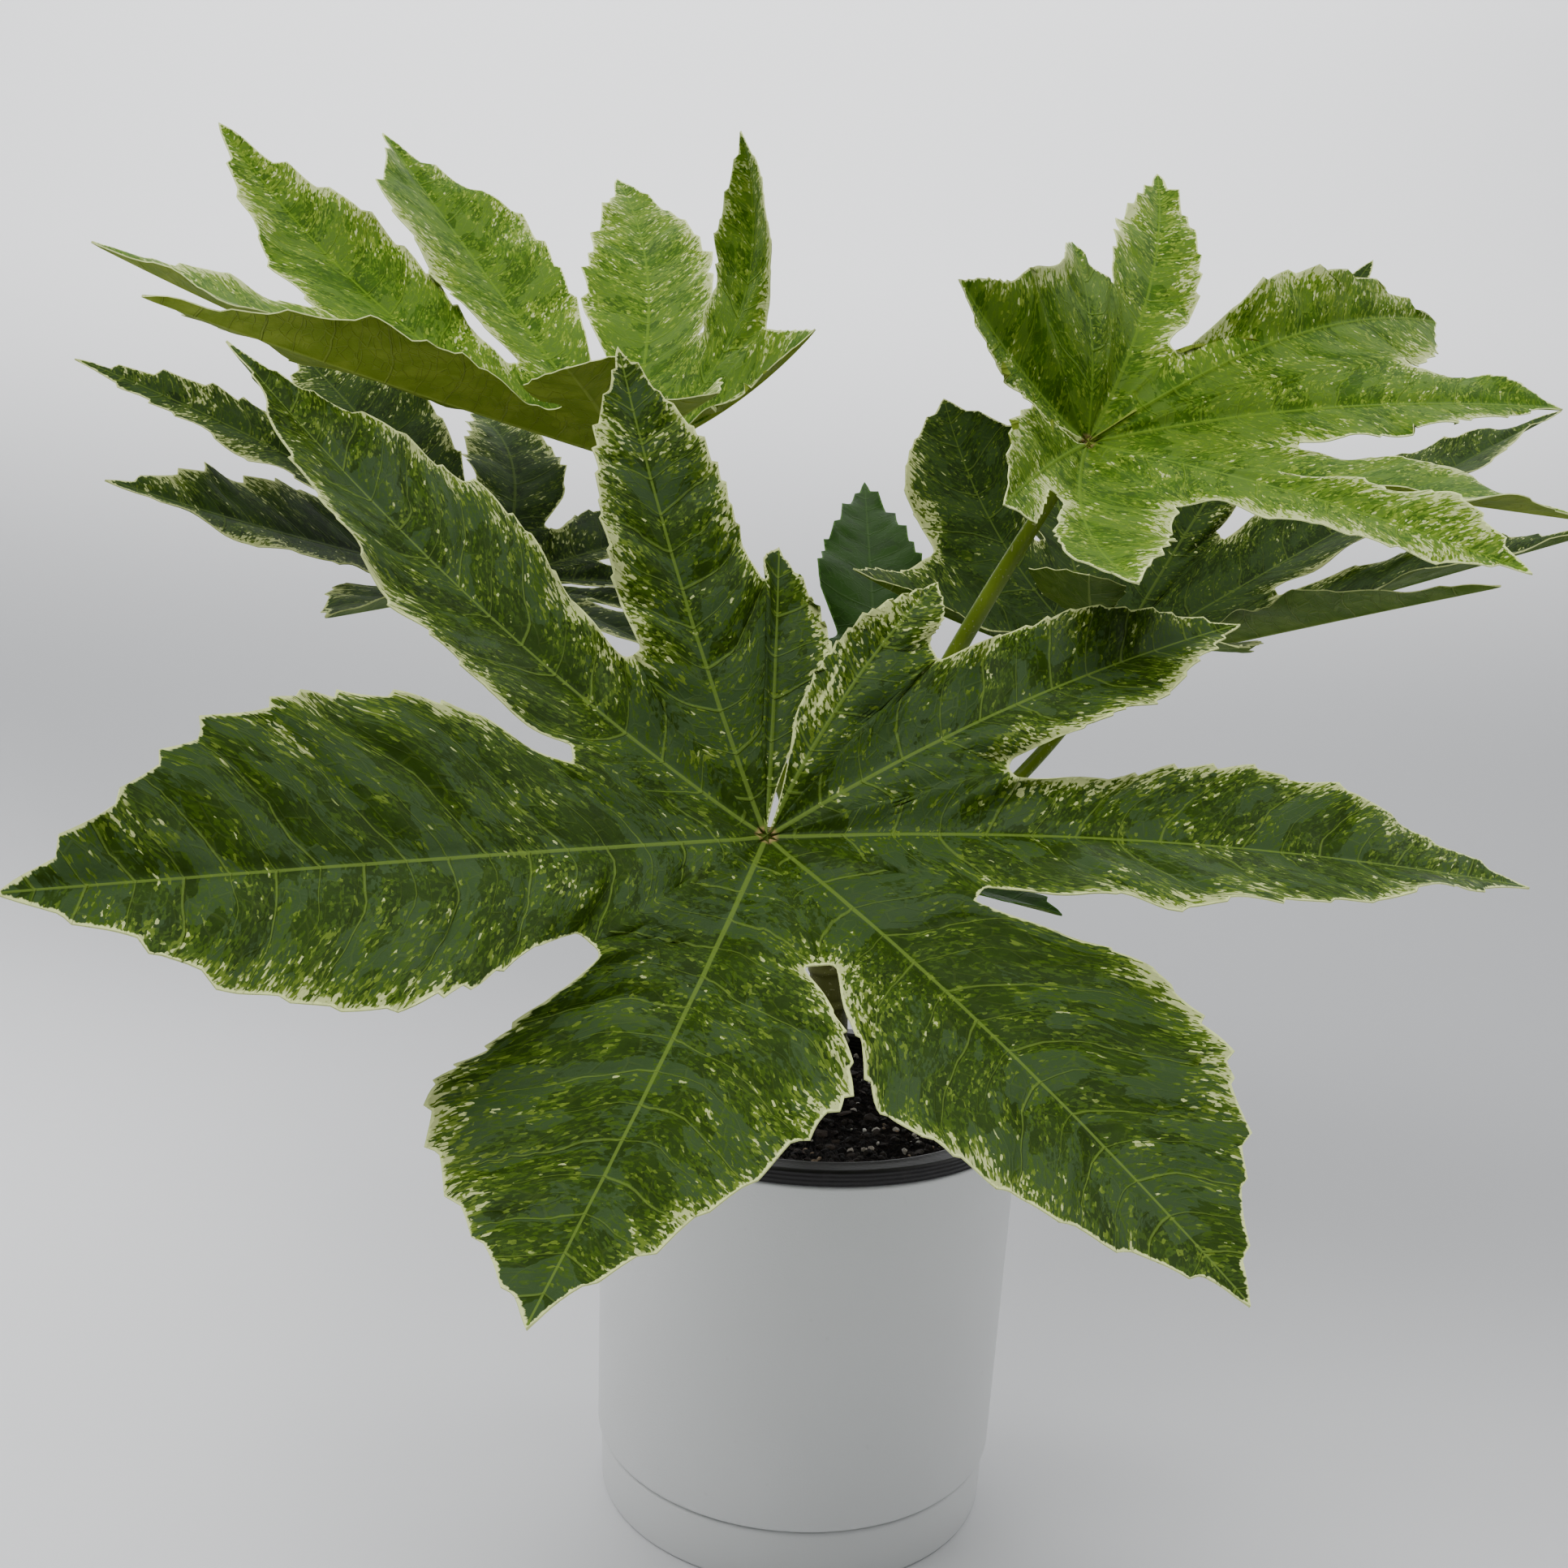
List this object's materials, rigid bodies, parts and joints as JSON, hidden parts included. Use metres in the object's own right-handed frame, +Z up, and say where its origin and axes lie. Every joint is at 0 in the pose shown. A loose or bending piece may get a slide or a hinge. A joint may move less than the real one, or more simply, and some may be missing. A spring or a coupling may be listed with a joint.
{
  "type": "potted variegated fatsia plant",
  "caption": "Upright foliage plant with large hand-shaped toothed leaves on a short stem, in a nursery pot inside a plain round planter with a saucer.",
  "frame": {"origin": "centre of the saucer's underside, on the surface the plant stands on", "axes": "+Z up along the planter's axis, -Y towards the viewer and the largest leaf, +X to the viewer's right"},
  "size_m": [0.507, 0.4525, 0.427],
  "materials": {
    "planter_white": "matt white",
    "nursery_black": "satin black",
    "soil": "loose, dark, with pale grit",
    "stem": "satin olive green",
    "leaf_dark": "waxy satin, dark green with cream specks and margins",
    "leaf_light": "satin, young yellow-green with cream specks and margins"
  },
  "bodies": {
    "root": {"saucer": "planter_white", "planter": "planter_white", "nursery_pot": "nursery_black", "soil": "soil", "stem": "stem", "leaf_front": "leaf_dark", "leaf_upper_left": "leaf_light", "leaf_rear_left": "leaf_dark", "leaf_upper_right": "leaf_light", "leaf_rear_right": "leaf_dark", "leaf_behind": "leaf_dark", "leaf_young": "leaf_dark"}
  },
  "joints": []
}
